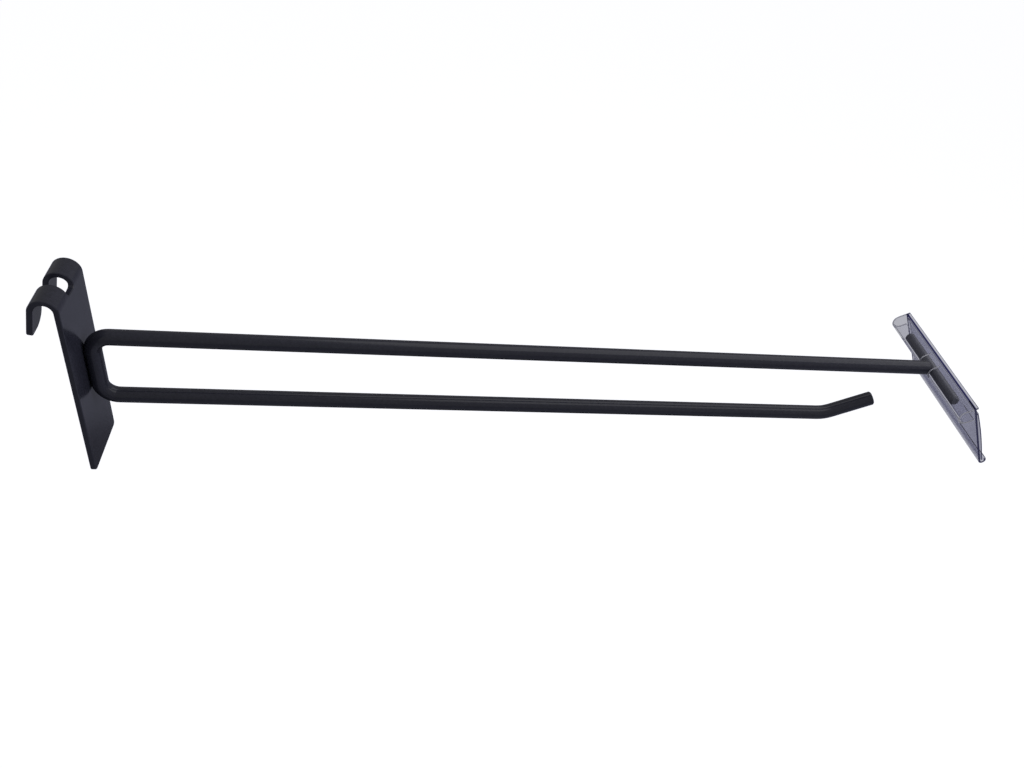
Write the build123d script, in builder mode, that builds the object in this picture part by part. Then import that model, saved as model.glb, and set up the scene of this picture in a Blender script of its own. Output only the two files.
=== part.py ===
"""Double prong display hook for a wire grid panel, with a swing-up label holder.

The origin is the centre of the grid wire that the two fingers hang on.  +X runs out from the
panel along the prongs, +Y across the plate and +Z up.  Lengths are in millimetres.
"""

import os
from math import asin, atan2, cos, degrees, hypot, radians, sin

from build123d import *

os.makedirs("parts", exist_ok=True)

# Back plate
PLATE_WIDTH = 26.0
PLATE_THICKNESS = 1.9
PLATE_DROP = 71.0        # bottom edge, below the grid wire's centre
PLATE_CORNER = 1.5       # rounded bottom corners
PLATE_EDGE = 0.25        # edges broken under the coating
SADDLE_RADIUS = 3.0      # inside of the curl
FINGER_GAP = 6.6         # slot that straddles an upright grid wire
SLOT_CORNER = 1.5        # rounded corners of the slot's floor
FINGER_FLARE = 10.6      # degrees that a leg leans back from the plate
FINGER_LEG = 10.4        # straight leg, from the curl to the tip
LEG_INNER_ROUND = 5.0    # corner of a leg's tip on the slot's side
LEG_OUTER_ROUND = 1.5    # corner of a leg's tip on the plate's edge

# Prong wire
WIRE_DIAMETER = 5.8
BEND_RADIUS = 6.0        # of the wire's centre line, at the U
UPPER_DROP = 18.5        # upper prong's axis, below the grid wire's centre
PRONG_PITCH = 26.2       # between the two prongs' axes
LOWER_REACH = 304.8      # lower prong's end, from the plate's front
LABEL_LEAD = 19.2        # cross bar's axis, ahead of the lower prong's end
TIP_ANGLE = 25.0         # degrees that the lower tip turns up
TIP_LENGTH = 18.0        # straight part of the tip
TIP_BEND_RADIUS = 14.0
TIP_CHAMFER = 0.45
WELD_SINK = 0.15         # depth that the upright is welded into the plate's face
END_ROUND = 1.0          # rounded edge of the upper prong's welded end

# Cross bar
BAR_DIAMETER = 4.0
BAR_LENGTH = 42.8
BAR_CHAMFER = 0.6
BAR_BITE = 0.5           # depth that the bar is welded into the prong's end

# Label holder
HOLDER_LENGTH = 62.6
HOLDER_SHIFT = 0.8       # slid along the bar
HOLDER_TILT = 28.2       # degrees that the panel's foot leans forward
HOLDER_WALL = 0.8
CLIP_PLAY = 0.8          # spare width in the clip's round back
CLIP_BORE = BAR_DIAMETER + CLIP_PLAY
BAR_CLEARANCE = 0.3      # between the bar's top and the clip that hangs on it
CLIP_MOUTH = 0.5         # slit between the clip's free edge and the panel
PANEL_GAP = 1.5          # between the bar and the panel's back
PANEL_DROP = 28.8        # from the bar's axis to the centre of the J
TOP_LIP = 0.85           # lip that stands out in front of the panel
COVER_THICKNESS = 0.4
COVER_ROOT = 0.25        # rib that carries the cover's top edge
COVER_BOW = 0.5          # bow of the cover at mid height
COVER_TUCK = 0.3         # height of the cover's lower edge above the J's centre
J_PLAY = 0.8             # room in the J, in front of the cover's lower edge
J_CHANNEL = COVER_ROOT + COVER_THICKNESS + J_PLAY
J_LIP = 0.8              # straight front of the J, above its centre
NOTCH_PLAY = 1.0         # spare width of the notch, beyond the prong and the slide
NOTCH_WIDTH = WIRE_DIAMETER + 2 * abs(HOLDER_SHIFT) + NOTCH_PLAY
NOTCH_REACH = 2.4        # notch's front end, ahead of the bar's axis
STOP_CLEARANCE = 0.3     # between the notch's lower edge and the prong

# Places that follow from the sizes above
curl_radius = SADDLE_RADIUS + PLATE_THICKNESS
plate_front = curl_radius
finger_width = (PLATE_WIDTH - FINGER_GAP) / 2
wire_radius = WIRE_DIAMETER / 2
upright_x = plate_front + wire_radius - WELD_SINK
upper_z = -UPPER_DROP
lower_z = upper_z - PRONG_PITCH
bar_radius = BAR_DIAMETER / 2
bar_x = plate_front + LOWER_REACH + LABEL_LEAD
prong_end_x = bar_x - bar_radius + BAR_BITE

# The tip's end face is square to the wire, so its lower corner reaches furthest.
tip_run = cos(radians(TIP_ANGLE))
tip_rise = sin(radians(TIP_ANGLE))
tip_reach = (TIP_BEND_RADIUS + wire_radius) * tip_rise + TIP_LENGTH * tip_run
tip_bend_x = plate_front + LOWER_REACH - tip_reach


# Back plate: the strip seen from the side, a straight back with a curl and a leg on top
with BuildPart() as back_plate:
    with BuildSketch(Plane.XZ):
        with BuildLine():
            front = Line((plate_front, -PLATE_DROP), (plate_front, 0))
            outer_curl = CenterArc((0, 0), curl_radius, 0, 180 - FINGER_FLARE)
            outer_leg = Line(outer_curl @ 1, outer_curl @ 1 + FINGER_LEG * (outer_curl % 1))
            inner_curl = CenterArc((0, 0), SADDLE_RADIUS, 0, 180 - FINGER_FLARE)
            inner_leg = Line(inner_curl @ 1, inner_curl @ 1 + FINGER_LEG * (inner_curl % 1))
            Line(outer_leg @ 1, inner_leg @ 1)
            back = Line(inner_curl @ 0, (SADDLE_RADIUS, -PLATE_DROP))
            Line(back @ 1, front @ 0)
        make_face()
    extrude(amount=PLATE_WIDTH / 2, both=True)

    # The slot parts the curl and the legs. Its floor lies where the flat plate begins to curl.
    with BuildSketch(Plane.YZ):
        slot = Rectangle(FINGER_GAP, 2 * curl_radius, align=(Align.CENTER, Align.MIN))
        fillet(slot.vertices().group_by(Axis.Y)[0], SLOT_CORNER)
    extrude(amount=2 * curl_radius, mode=Mode.SUBTRACT)
    with BuildSketch(Plane.YZ):
        Rectangle(FINGER_GAP, 4 * (curl_radius + FINGER_LEG))
    extrude(amount=-2 * (curl_radius + FINGER_LEG), mode=Mode.SUBTRACT)

    # The tip corners, from the slot's side outwards
    def leg_tip_corners():
        legs = back_plate.faces().filter_by(lambda face: face.center().X < 0)
        tips = legs.sort_by(Axis.Z)[:2]
        corners = tips.edges().filter_by(Axis.Y, reverse=True)
        return corners.sort_by(lambda edge: abs(edge.center().Y))

    fillet(leg_tip_corners()[:2], min(LEG_INNER_ROUND, 0.6 * finger_width))
    fillet(leg_tip_corners()[-2:], min(LEG_OUTER_ROUND, 0.3 * finger_width))
    foot = back_plate.faces().filter_by(Axis.Z).sort_by(Axis.Z)[0]
    fillet(foot.edges().filter_by(Axis.X), PLATE_CORNER)
    chamfer(back_plate.edges(), min(PLATE_EDGE, 0.3 * PLATE_THICKNESS))

back_plate.part.label = "back_plate"
export_step(back_plate.part, "parts/back_plate.step")


# Prong wire: one round wire bent to a U, its lower end turned up
with BuildPart() as prong_wire:
    with BuildLine(Plane.XZ) as wire_path:
        upper = Line((prong_end_x, upper_z), (upright_x + BEND_RADIUS, upper_z))
        upper_bend = JernArc(upper @ 1, upper % 1, BEND_RADIUS, 90)
        upright = Line(upper_bend @ 1, (upright_x, lower_z + BEND_RADIUS))
        lower_bend = JernArc(upright @ 1, upright % 1, BEND_RADIUS, 90)
        lower = Line(lower_bend @ 1, (tip_bend_x, lower_z))
        tip_bend = JernArc(lower @ 1, lower % 1, TIP_BEND_RADIUS, TIP_ANGLE)
        tip = Line(tip_bend @ 1, tip_bend @ 1 + TIP_LENGTH * (tip_bend % 1))
    with BuildSketch(Plane.YZ.offset(prong_end_x)):
        with Locations((0, upper_z)):
            Circle(wire_radius)
    sweep(path=wire_path.line)

    wire_ends = prong_wire.faces().filter_by(GeomType.PLANE).sort_by(Axis.Z)
    chamfer(wire_ends[0].edges(), min(TIP_CHAMFER, 0.4 * wire_radius))
    fillet(wire_ends[-1].edges(), min(END_ROUND, 0.4 * wire_radius))

    # Weld seats: a flat where the upright lies on the plate, a trough for the cross bar
    with BuildSketch(Plane.YZ.offset(plate_front)):
        with Locations((0, (upper_z + lower_z) / 2)):
            Rectangle(2 * WIRE_DIAMETER, PRONG_PITCH)
    extrude(amount=-WIRE_DIAMETER, mode=Mode.SUBTRACT)
    with BuildSketch(Plane.XZ):
        with Locations((bar_x, upper_z)):
            Circle(bar_radius)
    extrude(amount=WIRE_DIAMETER, both=True, mode=Mode.SUBTRACT)

prong_wire.part.label = "prong_wire"
export_step(prong_wire.part, "parts/prong_wire.step")


# Cross bar: a thinner wire welded across the upper prong's end
with BuildPart() as cross_bar:
    with BuildSketch(Plane.XZ):
        with Locations((bar_x, upper_z)):
            Circle(bar_radius)
    extrude(amount=BAR_LENGTH / 2, both=True)
    bar_ends = cross_bar.faces().filter_by(Axis.Y)
    chamfer(bar_ends.edges(), min(BAR_CHAMFER, 0.4 * bar_radius))

cross_bar.part.label = "cross_bar"
export_step(cross_bar.part, "parts/cross_bar.step")


# Label holder: one extrusion, drawn about the bar's axis with the panel upright in the sketch
clip_inner = CLIP_BORE / 2
clip_outer = clip_inner + HOLDER_WALL
clip_height = bar_radius + BAR_CLEARANCE - clip_inner
panel_back = bar_radius + PANEL_GAP
panel_front = panel_back + HOLDER_WALL
clip_end = panel_back - CLIP_MOUTH
lip_end = panel_front + TOP_LIP
j_inner = J_CHANNEL / 2
j_outer = j_inner + HOLDER_WALL
j_x = panel_front + j_inner
cover_back = panel_front + COVER_ROOT
cover_foot = COVER_TUCK - PANEL_DROP
cover_middle = cover_foot / 2

# The notch stops the holder where its lower edge meets the rounded end of the prong.
round_x = -bar_radius + BAR_BITE - END_ROUND
round_z = -wire_radius + END_ROUND
stop_angle = degrees(
    atan2(-round_z, -round_x) + asin((END_ROUND + STOP_CLEARANCE) / hypot(round_x, round_z))
)
stop_direction = radians(180 + stop_angle - HOLDER_TILT)
notch_depth = 2 * clip_outer

holder_plane = Plane(
    origin=(bar_x, HOLDER_SHIFT, upper_z),
    x_dir=(cos(radians(HOLDER_TILT)), 0, sin(radians(HOLDER_TILT))),
    z_dir=(0, -1, 0),
)

with BuildPart() as label_holder:
    with BuildSketch(holder_plane):
        # Clip: a half ring behind the bar, with a flange over it and a free arm under it
        with Locations((0, clip_height)):
            Circle(clip_outer)
            Rectangle(clip_end, 2 * clip_outer, align=(Align.MIN, Align.CENTER))
        with Locations((0, clip_height + clip_inner)):
            Rectangle(lip_end, HOLDER_WALL, align=Align.MIN)
        with Locations((0, clip_height)):
            Circle(clip_inner, mode=Mode.SUBTRACT)
            Rectangle(lip_end, CLIP_BORE, align=(Align.MIN, Align.CENTER), mode=Mode.SUBTRACT)

        # Panel and the J at its foot
        with Locations((panel_back, -PANEL_DROP)):
            Rectangle(HOLDER_WALL, PANEL_DROP + clip_height + clip_outer, align=Align.MIN)
        with BuildLine():
            j_out = CenterArc((j_x, -PANEL_DROP), j_outer, 180, 180)
            j_in = CenterArc((j_x, -PANEL_DROP), j_inner, 180, 180)
            Line(j_out @ 0, j_in @ 0)
            Line(j_out @ 1, j_in @ 1)
        make_face()
        with Locations((j_x + j_inner, -PANEL_DROP)):
            Rectangle(HOLDER_WALL, J_LIP, align=Align.MIN)

        # Cover: a thin bowed sheet that hangs from a rib and tucks into the J
        with Locations((panel_front, 0)):
            Rectangle(COVER_ROOT + COVER_THICKNESS, HOLDER_WALL, align=(Align.MIN, Align.MAX))
        with BuildLine():
            inside = ThreePointArc(
                (cover_back, 0), (cover_back + COVER_BOW, cover_middle), (cover_back, cover_foot)
            )
            outside = ThreePointArc(
                (cover_back + COVER_THICKNESS, 0),
                (cover_back + COVER_BOW + COVER_THICKNESS, cover_middle),
                (cover_back + COVER_THICKNESS, cover_foot),
            )
            Line(inside @ 0, outside @ 0)
            Line(inside @ 1, outside @ 1)
        make_face()
    extrude(amount=HOLDER_LENGTH / 2, both=True)

    # Notch for the prong, through the back and the top of the clip
    with BuildSketch(holder_plane):
        with BuildLine():
            Polyline(
                (0, 0),
                (NOTCH_REACH, 0),
                (NOTCH_REACH, notch_depth),
                (-notch_depth, notch_depth),
                (notch_depth * cos(stop_direction), notch_depth * sin(stop_direction)),
                close=True,
            )
        make_face()
    extrude(amount=NOTCH_WIDTH / 2, both=True, mode=Mode.SUBTRACT)

label_holder.part.label = "label_holder"
export_step(label_holder.part, "parts/label_holder.step")
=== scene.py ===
"""Looks of the double prong display hook: powder-coated steel and a clear plastic label holder.

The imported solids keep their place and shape. This script gives them their finish, and sets the camera,
the light and a white floor. Lengths are in metres, in the part's own frame.
"""

from math import cos, radians, sin

import bpy
from mathutils import Matrix, Vector

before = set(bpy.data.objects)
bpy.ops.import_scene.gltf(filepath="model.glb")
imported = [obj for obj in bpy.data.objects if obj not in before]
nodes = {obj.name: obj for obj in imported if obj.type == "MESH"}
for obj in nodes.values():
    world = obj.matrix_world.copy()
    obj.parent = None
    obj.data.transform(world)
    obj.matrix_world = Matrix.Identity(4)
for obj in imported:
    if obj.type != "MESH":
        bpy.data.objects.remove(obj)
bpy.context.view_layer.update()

# Camera, fitted to the photograph
IMAGE_WIDTH = 1024
IMAGE_HEIGHT = 768
FOCAL_PIXELS = 900.7
PRINCIPAL_POINT = (572.2, 351.7)
CAMERA_PLACE = Vector((0.10848, -0.26441, 0.18936))
CAMERA_YAW = radians(14.45)
CAMERA_PITCH = radians(37.11)
CAMERA_ROLL = radians(-11.0)
SENSOR_WIDTH = 36.0

# Floor and surroundings. Their white is 1 to the camera, and less in a reflection or through the plastic.
FLOOR_HEIGHT = -0.45
FLOOR_SIZE = 12.0
FLOOR_GLOW = 0.95                   # part of the floor's white that no shadow takes away
FLOOR_PAPER = (0.1, 0.105, 0.16)    # part that the lamps light
FLOOR_SHEEN = 0.1                   # part of the white floor that the coat and the plastic mirror
SKY_SHEEN = 0.22                    # part of the white surroundings that they mirror
THROUGH_PLASTIC = 0.45              # part of the white that shows through the plastic
FILL_LIGHT = 0.36                   # even light from all sides

# Dark card on the floor
CARD_EDGE = (0.167, 0.415)          # middle of its far edge
CARD_TURN = radians(-26.0)
CARD_WIDTH = 0.9
CARD_DEPTH = 0.45
CARD_LIFT = 0.001
CARD_TONE = (0.06, 0.06, 0.07)

# Powder coat: the darker and the lighter tone of its speckle, and the grain of its noises per metre
STEEL_TONES = ((0.016, 0.0165, 0.0255), (0.021, 0.0215, 0.0325))
# The bar inside the clip: the same coat painted about three times lighter, painted light that stands in
# for the sheen of the clear plastic over it
BAR_TONES_PAINTED_LIGHT = ((0.056, 0.057, 0.074), (0.07, 0.071, 0.09))
COAT_INDEX = 1.5
COAT_ROUGHNESS = (0.14, 0.2)
SPECKLE_GRAIN = 900.0
SPECKLE_RANGE = (0.35, 0.7)
PATCH_GRAIN = 120.0
PEEL_GRAIN = 1400.0
PEEL_STRENGTH = 0.06
PEEL_DEPTH = 0.0002

# The label holder at rest hangs on the cross bar, its panel tilted and square to PANEL_NORMAL.
BAR_PLACE = Vector((0.3289, 0.0, -0.0185))
HOLDER_TILT = radians(28.2)
PANEL_NORMAL = Vector((cos(HOLDER_TILT), 0.0, sin(HOLDER_TILT)))
PANEL_RISE = Vector((-sin(HOLDER_TILT), 0.0, cos(HOLDER_TILT)))
ACROSS = Vector((0.0, 1.0, 0.0))
SQUARE_LIMIT = 0.9                  # cosine above which a surface counts as square to a direction

PLASTIC_INDEX = 1.06
WALL_CLEARNESS = 1.0
END_CLEARNESS = 0.15
WALL_ROUGHNESS = 0.0
END_ROUGHNESS = 0.4

# Tint of the plastic by the depth ahead of the bar's axis. Upright walls: clip's back, panel and cover.
# Level walls: flange over the bar, a dark line of painted shade where it meets the panel, and the lip.
SIDE_TONES = (
    (0.0033, (0.88, 0.88, 0.9)),
    (0.0035, (0.75, 0.752, 0.82)),
    (0.0043, (0.75, 0.752, 0.82)),
    (0.0044, (0.64, 0.643, 0.72)),
)
TOP_TONES_AND_SHADE = (
    (0.0034, (0.89, 0.89, 0.92)),
    # painted shade: a dark navy band on the level walls where the flange meets the panel
    (0.0035, (0.013, 0.013, 0.1)),
    (0.0042, (0.013, 0.013, 0.1)),
    (0.0043, (0.9, 0.9, 0.92)),
)

# Sawn ends: pale and cloudy across the clip, and painted dark across the panel and the cover, a painted
# shade where the clear edges look dark
END_TONES_AND_SHADE = (
    (0.0033, (0.42, 0.42, 0.47)),
    # painted shade: dark navy on the sawn ends of the panel and the cover
    (0.0035, (0.05, 0.05, 0.11)),
)


def new_material(name):
    """An empty node material, with its node tree and its output."""
    material = bpy.data.materials.new(name)
    material.use_nodes = True
    tree = material.node_tree
    tree.nodes.clear()
    output = tree.nodes.new("ShaderNodeOutputMaterial")
    return material, tree, output


def noise(tree, scale, detail):
    """The value of a noise texture on the object's own coordinates."""
    place = tree.nodes.new("ShaderNodeTexCoord")
    texture = tree.nodes.new("ShaderNodeTexNoise")
    texture.inputs["Scale"].default_value = scale
    texture.inputs["Detail"].default_value = detail
    tree.links.new(place.outputs["Object"], texture.inputs["Vector"])
    return texture.outputs["Fac"]


def ramp(tree, source, low, high):
    """Maps a 0 to 1 value to a range of numbers."""
    mapping = tree.nodes.new("ShaderNodeMapRange")
    mapping.inputs["To Min"].default_value = low
    mapping.inputs["To Max"].default_value = high
    tree.links.new(source, mapping.inputs["Value"])
    return mapping.outputs["Result"]


def powder_coat(name, tones):
    """Semi-gloss black powder coat with a fine orange peel, speckled between two tones."""
    material, tree, output = new_material(name)
    shader = tree.nodes.new("ShaderNodeBsdfPrincipled")
    shader.inputs["IOR"].default_value = COAT_INDEX

    tone = tree.nodes.new("ShaderNodeValToRGB")
    for stop, place, colour in zip(tone.color_ramp.elements, SPECKLE_RANGE, tones):
        stop.position = place
        stop.color = (*colour, 1.0)
    tree.links.new(noise(tree, SPECKLE_GRAIN, detail=3.0), tone.inputs["Fac"])
    tree.links.new(tone.outputs["Color"], shader.inputs["Base Color"])

    patches = noise(tree, PATCH_GRAIN, detail=2.0)
    tree.links.new(ramp(tree, patches, *COAT_ROUGHNESS), shader.inputs["Roughness"])

    bump = tree.nodes.new("ShaderNodeBump")
    bump.inputs["Strength"].default_value = PEEL_STRENGTH
    bump.inputs["Distance"].default_value = PEEL_DEPTH
    tree.links.new(noise(tree, PEEL_GRAIN, detail=2.0), bump.inputs["Height"])
    tree.links.new(bump.outputs["Normal"], shader.inputs["Normal"])
    tree.links.new(shader.outputs["BSDF"], output.inputs["Surface"])
    return material


def facing(tree, direction):
    """1 where the piece's surface is square to a direction, 0 elsewhere."""
    surface = tree.nodes.new("ShaderNodeNewGeometry")
    local = tree.nodes.new("ShaderNodeVectorTransform")
    local.vector_type = "NORMAL"
    local.convert_from = "WORLD"
    local.convert_to = "OBJECT"
    tree.links.new(surface.outputs["True Normal"], local.inputs["Vector"])
    along = tree.nodes.new("ShaderNodeVectorMath")
    along.operation = "DOT_PRODUCT"
    along.inputs[1].default_value = direction
    tree.links.new(local.outputs["Vector"], along.inputs[0])
    either_side = tree.nodes.new("ShaderNodeMath")
    either_side.operation = "ABSOLUTE"
    tree.links.new(along.outputs["Value"], either_side.inputs[0])
    square = tree.nodes.new("ShaderNodeMath")
    square.operation = "GREATER_THAN"
    square.inputs[1].default_value = SQUARE_LIMIT
    tree.links.new(either_side.outputs["Value"], square.inputs[0])
    return square.outputs["Value"]


def profile_tone(tree, tones):
    """A colour that changes from the clip's back to the cover: pairs of a depth and a colour."""
    place = tree.nodes.new("ShaderNodeTexCoord")
    ahead = tree.nodes.new("ShaderNodeVectorMath")
    ahead.operation = "DOT_PRODUCT"
    ahead.inputs[1].default_value = PANEL_NORMAL
    tree.links.new(place.outputs["Object"], ahead.inputs[0])
    bar_depth = BAR_PLACE.dot(PANEL_NORMAL)
    first = tones[0][0]
    last = tones[-1][0]
    depth = tree.nodes.new("ShaderNodeMapRange")
    depth.inputs["From Min"].default_value = bar_depth + first
    depth.inputs["From Max"].default_value = bar_depth + last
    tree.links.new(ahead.outputs["Value"], depth.inputs["Value"])

    tone = tree.nodes.new("ShaderNodeValToRGB")
    stops = tone.color_ramp.elements
    for place_of_tone, _ in tones[1:-1]:
        stops.new((place_of_tone - first) / (last - first))
    for stop, (_, colour) in zip(stops, tones):
        stop.color = (*colour, 1.0)
    tree.links.new(depth.outputs["Result"], tone.inputs["Fac"])
    return tone.outputs["Color"]


def mixed(tree, factor, first, second):
    """The first colour where the factor is 0, the second where it is 1."""
    node = tree.nodes.new("ShaderNodeMixRGB")
    tree.links.new(factor, node.inputs["Fac"])
    tree.links.new(first, node.inputs["Color1"])
    tree.links.new(second, node.inputs["Color2"])
    return node.outputs["Color"]


def clear_plastic():
    """Clear extruded plastic with a grey-lavender tint, a painted dark line of shade where the flange
    meets the panel, and sawn ends: cloudy across the clip, painted dark with shade across the panel and
    the cover.
    """
    material, tree, output = new_material("clear_plastic")
    shader = tree.nodes.new("ShaderNodeBsdfPrincipled")
    shader.inputs["IOR"].default_value = PLASTIC_INDEX

    ends = facing(tree, ACROSS)
    level = facing(tree, PANEL_RISE)
    walls = mixed(tree, level, profile_tone(tree, SIDE_TONES), profile_tone(tree, TOP_TONES_AND_SHADE))
    tone = mixed(tree, ends, walls, profile_tone(tree, END_TONES_AND_SHADE))
    tree.links.new(tone, shader.inputs["Base Color"])
    clearness = ramp(tree, ends, WALL_CLEARNESS, END_CLEARNESS)
    tree.links.new(clearness, shader.inputs["Transmission Weight"])
    roughness = ramp(tree, ends, WALL_ROUGHNESS, END_ROUGHNESS)
    tree.links.new(roughness, shader.inputs["Roughness"])
    tree.links.new(shader.outputs["BSDF"], output.inputs["Surface"])
    return material


def larger(tree, first, second):
    """The larger of two values."""
    node = tree.nodes.new("ShaderNodeMath")
    node.operation = "MAXIMUM"
    tree.links.new(first, node.inputs[0])
    tree.links.new(second, node.inputs[1])
    return node.outputs["Value"]


def scaled(tree, source, factor):
    """A value times a number."""
    node = tree.nodes.new("ShaderNodeMath")
    node.operation = "MULTIPLY"
    node.inputs[1].default_value = factor
    tree.links.new(source, node.inputs[0])
    return node.outputs["Value"]


def seen_directly(tree, sheen):
    """1 to the camera, and smaller shares through the clear plastic and to a reflection."""
    path = tree.nodes.new("ShaderNodeLightPath")
    through = scaled(tree, path.outputs["Is Transmission Ray"], THROUGH_PLASTIC)
    mirrored = scaled(tree, path.outputs["Is Glossy Ray"], sheen)
    return larger(tree, path.outputs["Is Camera Ray"], larger(tree, through, mirrored))


def white_world():
    """A soft even light that looks white behind the object and dimmer in its reflections."""
    world = bpy.data.worlds.new("studio")
    bpy.context.scene.world = world
    world.use_nodes = True
    tree = world.node_tree
    tree.nodes.clear()
    output = tree.nodes.new("ShaderNodeOutputWorld")
    sky = tree.nodes.new("ShaderNodeBackground")
    path = tree.nodes.new("ShaderNodeLightPath")
    fill = scaled(tree, path.outputs["Is Diffuse Ray"], FILL_LIGHT)
    tree.links.new(larger(tree, fill, seen_directly(tree, SKY_SHEEN)), sky.inputs["Strength"])
    sky.inputs["Color"].default_value = (1.0, 1.0, 1.0, 1.0)
    tree.links.new(sky.outputs["Background"], output.inputs["Surface"])


def white_floor():
    """A white floor below the hook. It glows, so that it stays white, and keeps the shadow."""
    bpy.ops.mesh.primitive_plane_add(size=FLOOR_SIZE, location=(0, 0, FLOOR_HEIGHT))
    floor = bpy.context.object
    floor.name = "floor"
    material, tree, output = new_material("floor_white")
    paper = tree.nodes.new("ShaderNodeBsdfDiffuse")
    paper.inputs["Color"].default_value = (*FLOOR_PAPER, 1.0)
    glow = tree.nodes.new("ShaderNodeEmission")
    tree.links.new(scaled(tree, seen_directly(tree, FLOOR_SHEEN), FLOOR_GLOW), glow.inputs["Strength"])
    both = tree.nodes.new("ShaderNodeAddShader")
    tree.links.new(paper.outputs["BSDF"], both.inputs[0])
    tree.links.new(glow.outputs["Emission"], both.inputs[1])
    tree.links.new(both.outputs["Shader"], output.inputs["Surface"])
    floor.data.materials.append(material)


def dark_card():
    """A black card on the floor that only reflections see. It darkens the foot of the plate."""
    bpy.ops.mesh.primitive_plane_add(size=1.0)
    card = bpy.context.object
    card.name = "dark_card"
    shape = Matrix.Diagonal((CARD_WIDTH, CARD_DEPTH, 1.0, 1.0)) @ Matrix.Translation((0.0, -0.5, 0.0))
    place = Matrix.Translation((*CARD_EDGE, FLOOR_HEIGHT + CARD_LIFT))
    card.matrix_world = place @ Matrix.Rotation(CARD_TURN, 4, "Z") @ shape
    material, tree, output = new_material("card_black")
    felt = tree.nodes.new("ShaderNodeBsdfDiffuse")
    felt.inputs["Color"].default_value = (*CARD_TONE, 1.0)
    tree.links.new(felt.outputs["BSDF"], output.inputs["Surface"])
    card.data.materials.append(material)
    card.visible_camera = False
    card.visible_diffuse = False
    card.visible_transmission = False
    card.visible_shadow = False


def softbox(name, place, target, size, power, mirrored=True):
    """A square area lamp at a place, turned to a target, and seen in reflections or not."""
    data = bpy.data.lights.new(name, "AREA")
    data.shape = "SQUARE"
    data.size = size
    data.energy = power
    lamp = bpy.data.objects.new(name, data)
    lamp.location = place
    direction = Vector(target) - Vector(place)
    lamp.rotation_euler = direction.to_track_quat("-Z", "Y").to_euler()
    lamp.visible_camera = False
    lamp.visible_glossy = mirrored
    bpy.context.scene.collection.objects.link(lamp)


def photo_camera():
    """The camera at the photograph's place, with the photograph's perspective."""
    forward = Vector((
        sin(CAMERA_YAW) * cos(CAMERA_PITCH),
        cos(CAMERA_YAW) * cos(CAMERA_PITCH),
        -sin(CAMERA_PITCH),
    ))
    level = Vector((cos(CAMERA_YAW), -sin(CAMERA_YAW), 0.0))
    drop = forward.cross(level)
    right = level * cos(CAMERA_ROLL) + drop * sin(CAMERA_ROLL)
    down = drop * cos(CAMERA_ROLL) - level * sin(CAMERA_ROLL)
    turn = Matrix((right, -down, -forward)).transposed()

    data = bpy.data.cameras.new("photo_camera")
    data.sensor_fit = "HORIZONTAL"
    data.sensor_width = SENSOR_WIDTH
    data.lens = FOCAL_PIXELS / IMAGE_WIDTH * SENSOR_WIDTH
    data.shift_x = (IMAGE_WIDTH / 2 - PRINCIPAL_POINT[0]) / IMAGE_WIDTH
    data.shift_y = (PRINCIPAL_POINT[1] - IMAGE_HEIGHT / 2) / IMAGE_WIDTH
    data.clip_start = 0.01
    camera = bpy.data.objects.new("photo_camera", data)
    camera.matrix_world = Matrix.Translation(CAMERA_PLACE) @ turn.to_4x4()
    bpy.context.scene.collection.objects.link(camera)
    bpy.context.scene.camera = camera


def dress(names, material):
    """Gives the named solids one finish."""
    for name in names:
        slots = nodes[name].data.materials
        slots.clear()
        slots.append(material)


dress(("back_plate", "prong_wire"), powder_coat("powder_coat", STEEL_TONES))
# The bar's coat is a lighter copy of the steel's coat: painted light for the plastic's sheen over it
dress(("cross_bar",), powder_coat("powder_coat_bar_painted_light", BAR_TONES_PAINTED_LIGHT))
dress(("label_holder",), clear_plastic())
nodes["label_holder"].visible_shadow = False
nodes["label_holder"].visible_diffuse = False
nodes["label_holder"].visible_glossy = False
white_world()
white_floor()
dark_card()
softbox("key", place=(0.75, 0.1, 1.0), target=(0.3, 0.0, -0.03), size=1.6, power=5.0)
softbox("front", place=(0.8, -0.15, 0.3), target=(0.15, 0.0, -0.03), size=0.6, power=5.2, mirrored=False)
softbox("back", place=(-0.8, 0.1, -0.1), target=(0.0, 0.0, -0.03), size=0.8, power=3.0, mirrored=False)
photo_camera()
bpy.context.scene.view_settings.view_transform = "Standard"
